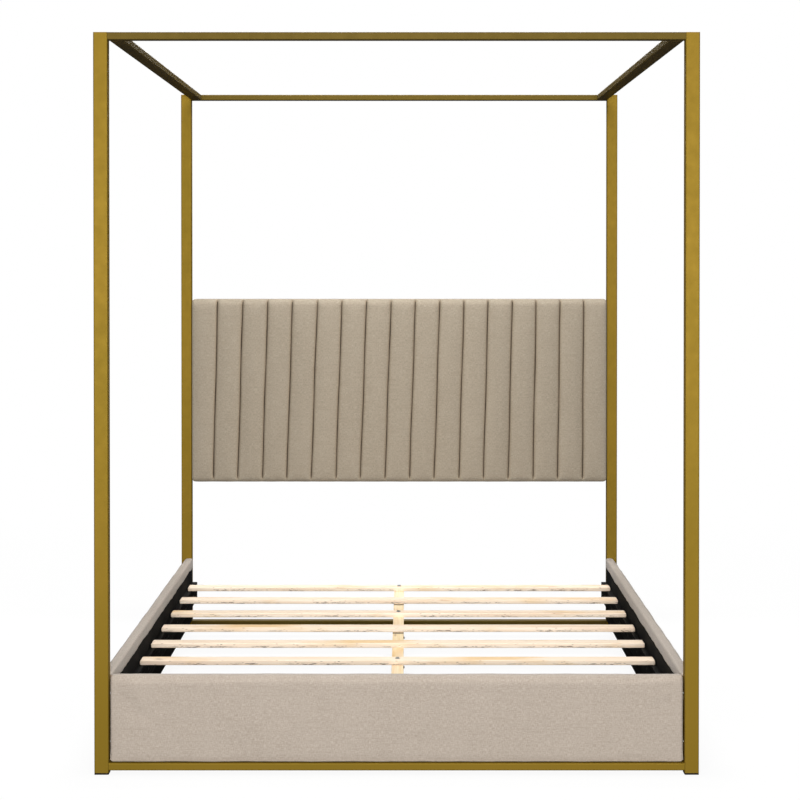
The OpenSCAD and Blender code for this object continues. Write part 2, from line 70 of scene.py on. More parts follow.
class Graph:
    """One material's node tree. Plain numbers and colours sit on the shader's own sockets."""

    def __init__(self, name, **shader):
        self.material = bpy.data.materials.new(name)
        self.material.use_nodes = True
        self.nodes = self.material.node_tree.nodes
        self.links = self.material.node_tree.links
        self.shader = self.nodes["Principled BSDF"]
        for socket, value in shader.items():
            self.put(self.shader.inputs[socket.replace("_", " ")], value)

    def put(self, socket, value):
        if isinstance(value, bpy.types.NodeSocket):
            self.links.new(value, socket)
        else:
            socket.default_value = value

    def add(self, kind, inputs, output=0, **settings):
        node = self.nodes.new("ShaderNode" + kind)
        for key, value in settings.items():
            setattr(node, key, value)
        for key, value in inputs.items():
            self.put(node.inputs[key], value)
        return node.outputs[output]

    def place(self, source="Object"):
        return self.add("TexCoord", {}, source)

    def stretch(self, vector, scale):
        return self.add("Mapping", {"Vector": vector, "Scale": scale})

    def noise(self, vector, scale, detail=3.0, roughness=0.55, distortion=0.0):
        return self.add("TexNoise", {"Vector": vector, "Scale": scale, "Detail": detail,
                                     "Roughness": roughness, "Distortion": distortion}, "Fac")

    def spots(self, vector, scale):
        return self.add("TexVoronoi", {"Vector": vector, "Scale": scale}, "Distance")

    def wave(self, vector, scale, distortion=0.0, direction="X"):
        return self.add("TexWave", {"Vector": vector, "Scale": scale, "Distortion": distortion,
                                    "Detail": 2.0}, "Fac", bands_direction=direction)

    def math(self, operation, a, b=0.5):
        return self.add("Math", {0: a, 1: b}, operation=operation)

    def span(self, value, low, high, out_low=0.0, out_high=1.0):
        return self.add("MapRange", {"Value": value, "From Min": low, "From Max": high,
                                     "To Min": out_low, "To Max": out_high})

    def mix(self, factor, a, b, blend="MIX"):
        return self.add("Mix", {0: factor, 6: a, 7: b}, 2, data_type="RGBA", blend_type=blend)

    def bump(self, height, strength, distance, normal=None):
        inputs = {"Height": height, "Strength": strength, "Distance": distance}
        if normal is not None:
            inputs["Normal"] = normal
        return self.add("Bump", inputs)

    def finish(self, colour=None, roughness=None, normal=None):
        for socket, value in (("Base Color", colour), ("Roughness", roughness),
                              ("Normal", normal)):
            if value is not None:
                self.put(self.shader.inputs[socket], value)
        return self.material


def srgb(red, green, blue):
    """Linear colour with alpha from 0-255 values."""
    def linear(c):
        c = c / 255
        return c / 12.92 if c <= 0.04045 else ((c + 0.055) / 1.055) ** 2.4
    return (linear(red), linear(green), linear(blue), 1.0)


def gold_material(name, deep, light):
    g = Graph(name, Metallic=0.3, Specular_IOR_Level=0.04)
    at = g.place()
    cloud = g.noise(at, 2.2, 2.0)
    colour = g.mix(g.span(cloud, 0.3, 0.7), deep, light)
    fleck = g.noise(at, 2600.0, 1.0)
    colour = g.mix(g.span(fleck, 0.55, 0.8, 0.0, 0.2), colour, srgb(136, 112, 44))
    rough = g.span(g.noise(at, 30.0, 3.0), 0.3, 0.7, 0.46, 0.54)
    peel = g.bump(g.noise(at, 420.0, 1.0), 0.05, 0.0003)
    return g.finish(colour, rough, peel)


def cover_material(name, light, dark, thread, sheen):
    """Heathered plain weave, with painted shade down in the seams: a tan halo and a dark brown core
    along each groove. The cover's UVs are metres along the panel and round its section."""
    g = Graph(name, Sheen_Weight=sheen, Sheen_Roughness=0.5, Specular_IOR_Level=0.1)
    uv = g.place("UV")
    weft = g.noise(g.stretch(uv, (90.0, 560.0, 1.0)), 1.0, 2.0)
    warp = g.noise(g.stretch(uv, (520.0, 110.0, 1.0)), 1.0, 2.0)
    slub = g.math("MULTIPLY", g.math("ADD", weft, warp), 0.5)
    colour = g.mix(g.span(slub, 0.38, 0.62), dark, light)
    patch = g.noise(uv, 34.0, 4.0, 0.65)
    colour = g.mix(g.span(patch, 0.4, 0.7, 0.0, 0.5), colour, thread)
    nap = g.noise(g.stretch(uv, (7.0, 3.0, 1.0)), 1.0, 3.0)
    colour = g.mix(g.span(nap, 0.3, 0.7, 0.0, 0.25), colour, light)
    across = g.noise(g.stretch(uv, (12.0, 210.0, 1.0)), 1.0, 2.0)
    upright = g.noise(g.stretch(uv, (190.0, 10.0, 1.0)), 1.0, 2.0)
    colour = g.mix(g.span(across, 0.52, 0.72, 0.0, 0.35), colour, dark)
    colour = g.mix(g.span(upright, 0.55, 0.75, 0.0, 0.3), colour, light)
    # Painted shade in the seams: a tan halo, then a dark brown core where the groove is deepest.
    seam_shade = g.add("Attribute", {}, "Fac", attribute_name="seam_shade")
    colour = g.mix(g.span(seam_shade, 0.02, 0.5, 0.0, 0.4), colour, srgb(122, 96, 56))
    colour = g.mix(g.span(seam_shade, 0.48, 0.64, 0.0, 0.97), colour, srgb(38, 21, 4))
    over = g.wave(uv, 330.0, 1.2, "X")
    under = g.wave(uv, 330.0, 1.2, "Y")
    weave = g.bump(g.math("MULTIPLY", over, under), 0.35, 0.0005)
    fuzz = g.bump(slub, 0.5, 0.0006, weave)
    rough = g.span(patch, 0.3, 0.7, 0.82, 0.95)
    return g.finish(colour, rough, fuzz)


def lining_material():
    g = Graph("black_lining", Specular_IOR_Level=0.08)
    at = g.place()
    fibres = g.noise(g.stretch(at, (420.0, 420.0, 160.0)), 1.0, 4.0, 0.7)
    dots = g.spots(at, 260.0)
    colour = g.mix(fibres, srgb(8, 8, 8), srgb(24, 23, 23))
    height = g.math("ADD", fibres, g.span(dots, 0.0, 0.35))
    return g.finish(colour, g.span(fibres, 0.3, 0.7, 0.7, 0.9), g.bump(height, 0.5, 0.0006))


WANE_H = 0.0065     # how far up a slat's front the bark stains reach
FRONT_TOP = 0.017   # distance up the front of a slat, with its rounded edges


def timber_material(name, pale, warm, dark, edge_dark):
    """Sawn pine. UVs are metres along the board and round its section, from v = 0 at the low
    front edge up the front and over the top."""
    g = Graph(name, Specular_IOR_Level=0.25)
    uv = g.place("UV")
    up = g.add("SeparateXYZ", {"Vector": uv}, 1)
    warp = g.noise(g.stretch(uv, (2.0, 14.0, 1.0)), 1.0, 2.0)
    lift = g.add("CombineXYZ", {"Y": g.math("MULTIPLY", warp, 0.02)})
    lifted = g.add("VectorMath", {0: uv, 1: lift}, operation="ADD")
    rings = g.noise(g.stretch(lifted, (3.0, 190.0, 1.0)), 1.0, 3.0, 0.6)
    fine = g.noise(g.stretch(uv, (16.0, 1500.0, 1.0)), 1.0, 2.0, 0.6)
    zone = g.noise(g.stretch(uv, (2.6, 9.0, 1.0)), 1.0, 3.0)
    colour = g.mix(g.span(rings, 0.38, 0.66), pale, warm)
    colour = g.mix(g.span(fine, 0.45, 0.75, 0.0, 0.4), colour, warm)
    colour = g.mix(g.span(zone, 0.52, 0.64, 0.0, 0.6), colour, srgb(222, 180, 108))
    blush = g.noise(g.stretch(uv, (1.4, 20.0, 1.0)), 1.0, 2.0)
    colour = g.mix(g.span(blush, 0.5, 0.7, 0.0, 0.45), colour, srgb(226, 194, 168))
    fleck = g.spots(g.stretch(uv, (34.0, 260.0, 1.0)), 1.0)
    on_front = g.span(up, FRONT_TOP, FRONT_TOP - 0.003, 0.0, edge_dark)
    speck = g.math("MULTIPLY", g.span(fleck, 0.17, 0.1), on_front)
    colour = g.mix(speck, colour, srgb(104, 74, 48))
    knot = g.spots(g.stretch(uv, (5.0, 26.0, 1.0)), 1.0)
    colour = g.mix(g.span(knot, 0.16, 0.07, 0.0, 0.5), colour, srgb(176, 132, 84))
    colour = g.mix(g.span(knot, 0.07, 0.04, 0.0, edge_dark), colour, dark)
    wane = g.noise(g.stretch(uv, (34.0, 420.0, 1.0)), 1.0, 4.0, 0.75)
    patches = g.span(g.noise(g.stretch(uv, (6.0, 1.0, 1.0)), 1.0, 1.0), 0.47, 0.53)
    near_edge = g.span(up, WANE_H, WANE_H * 0.6)
    streak = g.math("MULTIPLY", g.math("MULTIPLY", g.span(wane, 0.5, 0.56), near_edge), patches)
    colour = g.mix(g.math("MULTIPLY", streak, edge_dark), colour, dark)
    grain = g.bump(g.math("ADD", rings, fine), 0.35, 0.0006)
    sawn = g.bump(g.noise(g.stretch(uv, (500.0, 60.0, 1.0)), 1.0, 2.0), 0.15, 0.0004, grain)
    return g.finish(colour, g.span(rings, 0.3, 0.7, 0.55, 0.72), sawn)


def painted_wood_material():
    g = Graph("black_painted_wood", Specular_IOR_Level=0.02)
    at = g.place()
    grain = g.noise(g.stretch(at, (240.0, 12.0, 240.0)), 1.0, 3.0)
    colour = g.mix(grain, srgb(5, 5, 5), srgb(15, 14, 13))
    return g.finish(colour, g.span(grain, 0.3, 0.7, 0.42, 0.6), g.bump(grain, 0.3, 0.0005))


def moulded_material(name, dark, light, rough):
    g = Graph(name, Specular_IOR_Level=0.12)
    at = g.place()
    pebble = g.noise(at, 1300.0, 2.0)
    colour = g.mix(g.noise(at, 14.0), dark, light)
    return g.finish(colour, g.span(pebble, 0.3, 0.7, rough - 0.06, rough + 0.06),
                    g.bump(pebble, 0.25, 0.0002))


def steel_material(name, dark, light, metallic, rough):
    g = Graph(name, Metallic=metallic)
    at = g.place()
    spangle = g.spots(at, 180.0)
    brushed = g.noise(g.stretch(at, (60.0, 60.0, 1400.0)), 1.0, 2.0)
    colour = g.mix(g.span(spangle, 0.0, 0.6), dark, light)
    return g.finish(colour, g.span(brushed, 0.3, 0.7, rough - 0.08, rough + 0.08),
                    g.bump(brushed, 0.1, 0.0002))


def board_material():
    g = Graph("panel_board")
    at = g.place()
    flakes = g.spots(g.stretch(at, (60.0, 60.0, 110.0)), 1.0)
    tone = g.noise(at, 40.0, 4.0)
    colour = g.mix(flakes, srgb(164, 122, 78), srgb(206, 170, 122))
    colour = g.mix(g.span(tone, 0.4, 0.7, 0.0, 0.5), colour, srgb(138, 98, 60))
    return g.finish(colour, g.span(tone, 0.3, 0.7, 0.6, 0.8), g.bump(flakes, 0.3, 0.0006))


def foam_material():
    g = Graph("foam", Specular_IOR_Level=0.1)
    at = g.place()
    cells = g.spots(at, 900.0)
    colour = g.mix(g.noise(at, 12.0), srgb(232, 222, 178), srgb(246, 240, 208))
    return g.finish(colour, g.span(cells, 0.0, 0.6, 0.85, 0.98), g.bump(cells, 0.6, 0.0006))


INK = srgb(58, 38, 24)
MATERIALS = {
    "gold_metal": gold_material("gold_paint", srgb(117, 95, 28), srgb(124, 99, 32)),
    "cover_fabric": cover_material("cover_fabric", srgb(181, 169, 157), srgb(150, 138, 125),
                                   srgb(164, 153, 141), 0.2),
    "black_lining": lining_material(),
    "slat_wood": timber_material("slat_wood", srgb(248, 232, 212), srgb(238, 214, 187), INK, 0.9),
    "beam_wood": timber_material("beam_wood", srgb(244, 226, 192), srgb(232, 204, 156), INK, 0.2),
    "black_wood": painted_wood_material(),
    "black_plastic": moulded_material("black_plastic", srgb(9, 7, 5), srgb(18, 15, 12), 0.5),
    "leveler_plastic": moulded_material("leveler_plastic", srgb(24, 24, 25), srgb(40, 40, 42), 0.55),
    "zinc_steel": steel_material("zinc_steel", srgb(150, 150, 146), srgb(214, 214, 208), 0.9, 0.32),
    "black_steel": steel_material("black_steel", srgb(18, 18, 18), srgb(34, 34, 33), 0.3, 0.45),
    "panel_board": board_material(),
    "foam": foam_material(),
}
# A darker copy of the gold paint: painted shade for the canopy beams and the rear bottom rail.
SHADED_GOLD = gold_material("gold_paint_painted_shade", srgb(84, 69, 26), srgb(90, 74, 30))
HEAD_FABRIC = cover_material("head_fabric", srgb(168, 157, 140), srgb(140, 129, 112),
                             srgb(150, 138, 121), 0.08)


def slot_of(node):
    for entry in frame["record"]["subparts"]:
        if entry["node"] == node:
            return entry["material_slot"]


CAD_BEVEL = 0.0004


def dress(node):
    """A CAD node keeps its mesh and gets its material and softened edges. The canopy beams and the
    rear bottom rail get a darker copy of the gold paint, as painted shade."""
    piece = nodes[node]
    in_painted_shade = node.startswith(("top_beam", "side_beam")) or node == "bottom_rail_rear"
    piece.data.materials.clear()
    piece.data.materials.append(SHADED_GOLD if in_painted_shade else MATERIALS[slot_of(node)])
    edge = piece.modifiers.new("edge", "BEVEL")
    edge.width = CAD_BEVEL
    edge.segments = 2
    edge.limit_method = "ANGLE"
    edge.angle_limit = math.radians(50)


# ---------------------------------------------------------------- mesh helpers

def grid_mesh(name, rows, uvs, material, seam_shade_rows=None):
    """A mesh from equal rows of points, with a UV and perhaps a weight of painted seam shade for each
    point.
    """
    count = len(rows[0])
    points = [p for row in rows for p in row]
    flat_uvs = [uv for row in uvs for uv in row]
    faces = []
    for r in range(len(rows) - 1):
        for c in range(count - 1):
            a = r * count + c
            faces.append((a, a + count, a + count + 1, a + 1))
    mesh = bpy.data.meshes.new(name)
    mesh.from_pydata(points, [], faces)
    layer = mesh.uv_layers.new(name="UVMap")
    for loop in mesh.loops:
        layer.data[loop.index].uv = flat_uvs[loop.vertex_index]
    if seam_shade_rows:
        # Weight of the painted shade that the cover material lays into the seams.
        depth = mesh.attributes.new("seam_shade", "FLOAT", "POINT")
        depth.data.foreach_set("value", [value for row in seam_shade_rows for value in row])
    mesh.polygons.foreach_set("use_smooth", [True] * len(mesh.polygons))
    mesh.materials.append(material)
    piece = bpy.data.objects.new(name, mesh)
    bpy.context.scene.collection.objects.link(piece)
    return piece


def ripple(x, y, z, size, seed):
    """Smooth noise between about -1 and 1, over features of the given size in metres."""
    return noise.noise(Vector((x / size + seed, y / size, z / size)))


def smooth(t):
    t = min(max(t, 0.0), 1.0)
    return t * t * (3 - 2 * t)


# ---------------------------------------------------------------- padded panels

FABRIC_T = 0.0015
HEAD_EDGE_R = 0.021
HEAD_LOW_R = 0.012
PANEL_EDGE_R = 0.014
PANEL_ROLL = 0.026
PANEL_LOW_R = 0.003
INNER_EDGE_R = 0.0055
WRAP_H = 0.035
ROW_STEP = 0.010


def section_path(depth, height, r_outer, roll, r_inner, r_low, wrap, low_wrap):
    """Points of a cover's section as ((depth, height), outward normal), from the inner wrap's
    low edge up over the top, down the face and under to the back. The top outer edge rolls over
    `r_outer` in depth and `roll` in height."""
    path = []

    def line(start, stop, normal):
        length = math.dist(start, stop)
        steps = max(1, round(length / ROW_STEP))
        for i in range(steps):
            t = i / steps
            path.append(((start[0] + (stop[0] - start[0]) * t,
                          start[1] + (stop[1] - start[1]) * t), normal))

    def arc(centre, wide, tall, start_deg, steps):
        for i in range(steps):
            angle = math.radians(start_deg + 90 * i / steps)
            aside, up = math.cos(angle), math.sin(angle)
            tilt = math.hypot(aside * tall, up * wide)
            path.append(((centre[0] + wide * aside, centre[1] + tall * up),
                         (aside * tall / tilt, up * wide / tilt)))

    line((depth, height - wrap), (depth, height - r_inner), (1, 0))
    arc((depth - r_inner, height - r_inner), r_inner, r_inner, 0, 3)
    line((depth - r_inner, height), (r_outer, height), (0, 1))
    arc((r_outer, height - roll), r_outer, roll, 90, 8)
    line((0, height - roll), (0, r_low), (-1, 0))
    arc((r_low, r_low), r_low, r_low, 180, 4)
    line((r_low, 0), (depth - r_inner, 0), (0, -1))
    if low_wrap > 0:
        arc((depth - r_inner, r_inner), r_inner, r_inner, 270, 3)
        line((depth, r_inner), (depth, low_wrap), (1, 0))
        path.append(((depth, low_wrap), (1, 0)))
    else:
        path.append(((depth - r_inner, 0), (0, -1)))
    return path


def end_columns(length, radius, step):
    """Places along a panel, closer together round its two ends."""
    turn = [radius * (1 - math.cos(math.radians(a))) for a in (0, 20, 40, 60, 75)]
    start = [-length / 2 + t for t in turn]
    inner = length - 2 * radius
    count = round(inner / step)
    middle = [-inner / 2 + inner * i / count for i in range(count + 1)]
    return start + middle + [-t for t in reversed(start)]


def end_inset(x, length, radius):
    gap = radius - min(length / 2 - abs(x), radius)
    return radius - math.sqrt(max(radius * radius - gap * gap, 0.0))


SIM_FRAMES = 20


def inflate(piece, pins, pressure, cap):
    """Cloth simulation with the pinned points held. The result is applied. A point moves out
    by no more than the cap and never inwards, because the board is behind it."""
    start = [v.co.copy() for v in piece.data.vertices]
    normals = [v.normal.copy() for v in piece.data.vertices]
    group = piece.vertex_groups.new(name="pins")
    group.add(pins, 1.0, "REPLACE")
    cloth = piece.modifiers.new("cloth", "CLOTH")
    settings = cloth.settings
    settings.quality = 4
    settings.mass = 0.3
    settings.tension_stiffness = 20
    settings.compression_stiffness = 20
    settings.shear_stiffness = 8
    settings.bending_stiffness = 0.4
    settings.vertex_group_mass = "pins"
    settings.use_pressure = True
    settings.uniform_pressure_force = pressure
    settings.effector_weights.gravity = 0
    cloth.collision_settings.use_collision = False
    cloth.collision_settings.use_self_collision = False
    scene = bpy.context.scene
    cloth.point_cache.frame_start = 1
    cloth.point_cache.frame_end = SIM_FRAMES
    for step in range(1, SIM_FRAMES + 1):
        scene.frame_set(step)
    shown = piece.evaluated_get(bpy.context.evaluated_depsgraph_get())
    moved = [v.co.copy() for v in shown.data.vertices]
    piece.modifiers.remove(cloth)
    piece.vertex_groups.remove(group)
    for vertex, old, new, normal in zip(piece.data.vertices, start, moved, normals):
        move = new - old
        out = move.dot(normal)
        aside = move - out * normal
        if aside.length > cap / 3:
            aside = aside.normalized() * cap / 3
        vertex.co = old + aside + min(max(out, 0.0), cap) * normal
    scene.frame_set(1)


def close_ends(piece, rows, count):
    """Closes both ends of a cover, whose rows run round the section."""
    mesh = piece.data
    first = [r * count for r in range(rows)]
    last = [r * count + count - 1 for r in range(rows)]
    work = bmesh.new()
    work.from_mesh(mesh)
    work.verts.ensure_lookup_table()
    for ring in (first, list(reversed(last))):
        face = work.faces.new([work.verts[i] for i in ring])
        face.smooth = False
    work.normal_update()
    bmesh.ops.recalc_face_normals(work, faces=work.faces)
    work.to_mesh(mesh)
    work.free()


def panel_cover(name, across, columns, end_r, path, puff, hem, pinned):
    """A low panel's padded cover as one sheet round the section. `across` turns (along, depth,
    height) into a place, `puff` gives how far a point stands out of the section, `hem` how far
    the cut edge strays and `pinned` whether a point is stapled down."""
    length = columns[-1] - columns[0]
    rows, uvs, pins = [], [], []
    travelled = 0.0
    for r, ((depth, height), normal) in enumerate(path):
        if r:
            travelled += math.dist(path[r - 1][0], (depth, height))
        row, row_uv = [], []
        for c, x in enumerate(columns):
            out = puff(x, depth, height)
            inset = end_inset(x, length, end_r)
            d = depth + normal[0] * (out - inset)
            h = height + normal[1] * (out - inset)
            if r == 0:
                h += hem(x)
            row.append(across(x, d, h))
            row_uv.append((x, travelled))
            if pinned(x, r):
                pins.append(r * len(columns) + c)
        rows.append(row)
        uvs.append(row_uv)
    piece = grid_mesh(name, rows, uvs, MATERIALS["cover_fabric"])
    inflate(piece, pins, 1.2, 0.003)
    finish_cover(piece, len(path), len(columns))
    return piece


def finish_cover(piece, rows, count):
    """Closed ends, the fabric's thickness inwards and a smoother surface."""
    close_ends(piece, rows, count)
    thick = piece.modifiers.new("thickness", "SOLIDIFY")
    thick.thickness = FABRIC_T
    thick.offset = -1
    soft = piece.modifiers.new("smooth", "SUBSURF")
    soft.levels = 1
    soft.render_levels = 1
    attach(piece, BED)


# Headboard: seventeen upright channels whose seams lean, as sewn by hand
CHANNELS = 17
SEAM_DEPTH = 0.013
CHANNEL_ROUND = 0.42
HALF_STEPS = (0.985, 0.95, 0.88, 0.78, 0.62, 0.35)
SEAM_STEPS = (-1.0, *(-s for s in HALF_STEPS), 0.0, *reversed(HALF_STEPS))
HEAD_END_R = 0.012


def seam_sink(s):
    """How deep the face lies, as a share of the seam's depth, for s from -1 to 1 across a channel."""
    t = max(abs(s) - (1 - CHANNEL_ROUND), 0.0) / CHANNEL_ROUND
    return 1 - math.sqrt(1 - t ** 3.2)


def seam_shift(u, v):
    """Sideways drift of the seams: u runs from left to right, v from bottom to top."""
    arch = math.sin(math.pi * min(max(u, 0.0), 1.0)) ** 0.6
    top = 0.0155 * arch
    bottom = (-0.011 + 0.014 * u * u) * smooth(min(u, 1 - u) * 17)
    wander = 0.0007 * math.sin(9 * v + 40 * u) * smooth(min(u, 1 - u) * 17)
    return bottom + (top - bottom) * v + wander


def make_headboard():
    low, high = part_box("headboard_cover")
    length, depth, height = high.x - low.x, high.y - low.y, high.z - low.z
    pitch = length / CHANNELS
    columns, places = [], []
    for k in range(CHANNELS):
        for s in SEAM_STEPS:
            columns.append(-length / 2 + pitch * (k + 0.5 + s / 2))
            places.append((k, s))
    columns.append(length / 2)
    places.append((CHANNELS - 1, 1.0))
    path = section_path(depth, height, HEAD_EDGE_R, HEAD_EDGE_R, INNER_EDGE_R, HEAD_LOW_R,
                        WRAP_H, WRAP_H)
    rows, uvs, seam_shade_rows, pins = [], [], [], []
    travelled = 0.0
    for r, ((d0, h0), normal) in enumerate(path):
        if r:
            travelled += math.dist(path[r - 1][0], (d0, h0))
        on_face = smooth((0.018 - d0) / 0.012)
        row, row_uv, row_seam_shade = [], [], []
        for c, (x0, (k, s)) in enumerate(zip(columns, places)):
            u = (x0 + length / 2) / length
            x = x0 + seam_shift(u, h0 / height)
            outer = (k == 0 and s < -0.5) or (k == CHANNELS - 1 and s > 0.5)
            share = 0.0 if outer else seam_sink(s) * smooth((h0 - 0.002) / 0.014)
            sink = SEAM_DEPTH * share
            lump = 0.0012 * ripple(x, 0, h0, 0.05, 3.1 + k)
            inset = end_inset(x0, length, HEAD_END_R)
            out = 0.003 - (sink - lump * (1 - abs(s) ** 4)) * on_face - inset
            spot = (low.x + length / 2 + x, low.y + d0 + normal[0] * out,
                    low.z + h0 + normal[1] * out)
            row.append(spot)
            row_uv.append((x, travelled))
            # Weight of painted seam shade: the point's share of the seam depth, varied along the
            # seam, and fuller on the right half of each channel, as shade with light from the left.
            shade_wobble = 0.95 + 0.3 * ripple(3.0 * k, 0, h0, 0.12, 2.0)
            row_seam_shade.append(share * on_face * shade_wobble * (1.0 if s > 0 else 0.85))
            if abs(s) > 0.98 or d0 > depth - 0.004 or c in (0, len(columns) - 1):
                pins.append(r * len(columns) + c)
        rows.append(row)
        uvs.append(row_uv)
        seam_shade_rows.append(row_seam_shade)
    piece = grid_mesh("headboard_upholstery", rows, uvs, HEAD_FABRIC, seam_shade_rows)
    inflate(piece, pins, 2.5, 0.005)
    finish_cover(piece, len(path), len(columns))
    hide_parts("headboard_cover", "headboard_foam")


def make_low_panel(name, node_prefix, axis, side):
    """Footboard (axis 0) or a side rail (axis 1, side -1 or 1): a smooth padded cover."""
    low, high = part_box(node_prefix + "_cover")
    along = 1 if axis else 0
    across_axis = 1 - along
    length = high[along] - low[along]
    depth = high[across_axis] - low[across_axis]
    height = high.z - low.z
    middle = (high[along] + low[along]) / 2
    seed = 5.0 + 3 * axis + side

    def across(x, d, h):
        if axis == 0:
            return (middle + x, low.y + d, low.z + h)
        if side > 0:
            return (high.x - d, middle + x, low.z + h)
        return (low.x + d, middle - x, low.z + h)

    path = section_path(depth, height, PANEL_EDGE_R, PANEL_ROLL, INNER_EDGE_R, PANEL_LOW_R,
                        WRAP_H, 0.0)
    end_r = 0.008 if axis == 0 else 0.002
    columns = end_columns(length, end_r, 0.012)

    def puff(x, d, h):
        edge = smooth((length / 2 - abs(x)) / 0.05)
        crown = 0.0012 * edge * math.sin(math.pi * min(max(h / height, 0), 1))
        lump = 0.0009 * ripple(x, d, h, 0.09, seed) + 0.0005 * ripple(x, d, h, 0.03, seed + 7)
        return 0.0006 + crown + lump * edge

    def hem(x):
        return 0.006 * ripple(x, 0, 0, 0.16, seed + 2) + 0.003 * ripple(x, 0, 0, 0.05, seed)

    def pinned(x, r):
        return length / 2 - abs(x) < 0.004 or r < 3 or r > len(path) - 4

    piece = panel_cover(name, across, columns, end_r, path, puff, hem, pinned)
    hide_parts(node_prefix + "_cover", node_prefix + "_foam")


HEM = 0.026
SIDE_HEM = HEM / 6
TUCK = 0.012


def make_lining(name, node, panel):
    """A black non-woven sheet, slack between its staples. On the headboard's back it overlaps the
    fabric's hem; on the low panels its top edge is tucked under the fabric."""
    low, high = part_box(node)
    is_head = panel == "headboard"
    along = 1 if high.y - low.y > high.x - low.x else 0
    flat_axis = 1 - along
    outward = -1.0 if panel == "side_rail_right" else 1.0
    face = (high if outward > 0 else low)[flat_axis] + outward * (0.0003 if is_head else -0.0006)
    side_margin = SIDE_HEM if is_head else 0.0
    low_margin = HEM if is_head else 0.0
    start, stop = low[along] + side_margin, high[along] - side_margin
    bottom, top = low.z + low_margin, high.z + (TUCK / 2 if is_head else TUCK)
    columns, lines = round((stop - start) / 0.02), max(4, round((top - bottom) / 0.02))
    rows, uvs = [], []
    for i in range(lines + 1):
        z = bottom + (top - bottom) * i / lines
        inside = smooth(6 * min(i, lines - i) / lines)
        row, row_uv = [], []
        for j in range(columns + 1):
            a = start + (stop - start) * j / columns
            flat = face + outward * 0.0009 * ripple(a, 0, z, 0.12, 11.0) * inside
            row.append((a, flat, z) if along == 0 else (flat, a, z))
            row_uv.append((a, z))
        rows.append(row)
        uvs.append(row_uv)
    piece = grid_mesh(name, rows, uvs, MATERIALS["black_lining"])
    thick = piece.modifiers.new("thickness", "SOLIDIFY")
    thick.thickness = 0.0006
    thick.offset = 0
    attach(piece, BED)
    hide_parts(node)
    return start, stop, bottom, top, face


STAPLE_L = 0.011
STAPLE_R = 0.0006


def make_staples(start, stop, bottom, top, face):
    """Crowns of the staples round the headboard's back cloth."""
    inset, pitch = 0.008, 0.07
    crowns = []
    for z in (bottom + inset, top - inset):
        count = round((stop - start - 2 * inset) / pitch)
        crowns += [(start + inset + (stop - start - 2 * inset) * i / count, z, (1, 0))
                   for i in range(count + 1)]
    for x in (start + inset, stop - inset):
        count = round((top - bottom - 2 * inset) / pitch)
        crowns += [(x, bottom + inset + (top - bottom - 2 * inset) * i / count, (0, 1))
                   for i in range(1, count)]
    work = bmesh.new()
    for n, (x, z, (dx, dz)) in enumerate(crowns):
        tilt = 0.18 * math.sin(7.3 * n)
        turn = Matrix.Rotation(math.atan2(dx, dz) + tilt, 4, "Y")
        place = Matrix.Translation((x, face + STAPLE_R, z)) @ turn
        bmesh.ops.create_cone(work, segments=8, radius1=STAPLE_R, radius2=STAPLE_R,
                              depth=STAPLE_L, cap_ends=True, matrix=place)
    mesh = bpy.data.meshes.new("headboard_back_staples")
    work.to_mesh(mesh)
    work.free()
    mesh.materials.append(MATERIALS["zinc_steel"])
    piece = bpy.data.objects.new("headboard_back_staples", mesh)
    bpy.context.scene.collection.objects.link(piece)
    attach(piece, BED)


# ---------------------------------------------------------------- timber

SECTION_STEP = 0.0035


def board_section(width, thick, corner):
    """A closed loop of close points round a board's section, with rounded edges, from the low
    front edge up the front."""
    ring = []
    for cx, cy, start in ((-1, -1, 270), (-1, 1, 180), (1, 1, 90), (1, -1, 360)):
        for i in range(4):
            angle = math.radians(start - 30 * i)
            ring.append((cx * (width / 2 - corner) + corner * math.cos(angle),
                         cy * (thick / 2 - corner) + corner * math.sin(angle)))
    ring = ring[2:] + ring[:2]
    dense = []
    for a, b in zip(ring, ring[1:] + ring[:1]):
        steps = max(1, round(math.dist(a, b) / SECTION_STEP))
        dense += [(a[0] + (b[0] - a[0]) * t / steps, a[1] + (b[1] - a[1]) * t / steps)
                  for t in range(steps)]
    return dense + dense[:1]


def timber(name, node, along, rough_sawn):
    """A sawn board along X or Y in the place of a CAD node, with eased ends and a little wane."""
    low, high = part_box(node)
    other = 1 - along
    length, width, thick = high[along] - low[along], high[other] - low[other], high.z - low.z
    seed = sum(map(ord, name)) * 0.37
    dense = board_section(width, thick, 0.002 if rough_sawn else 0.0012)
    ease = 0.004 if rough_sawn else 0.0012
    turn = [ease * (1 - math.cos(math.radians(a))) for a in (0, 30, 60, 90)]
    count = round((length - 2 * ease) / 0.02)
    run = [ease + (length - 2 * ease) * i / count for i in range(1, count)]
    places = turn + run + [length - t for t in reversed(turn)]
    rows, uvs = [], []
    for x in places:
        near = min(x, length - x)
        gap = ease - min(near, ease)
        inset = ease - math.sqrt(max(ease * ease - gap * gap, 0.0))
        row, row_uv = [], []
        travelled = 0.0
        for i, (a, b) in enumerate(dense):
            if i:
                travelled += math.dist(dense[i - 1], (a, b))
            shy = 0.0006 * (1 + ripple(x, a, b, 0.07, seed)) if rough_sawn else 0.0
            scale_a = 1 - 2 * (inset + shy) / width
            scale_b = 1 - 2 * min(inset, thick * 0.3) / thick
            spot = [0.0, 0.0, (low.z + high.z) / 2 + b * scale_b]
            spot[along] = low[along] + x
            spot[other] = (low[other] + high[other]) / 2 + a * scale_a
            row.append(tuple(spot))
            row_uv.append((x + seed, travelled))
        rows.append(row)
        uvs.append(row_uv)
    piece = grid_mesh(name, rows, uvs, MATERIALS[slot_of(node)])
    close_ends_of_board(piece)
    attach(piece, BED)
    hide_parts(node)
    slot_of(node)
    return piece


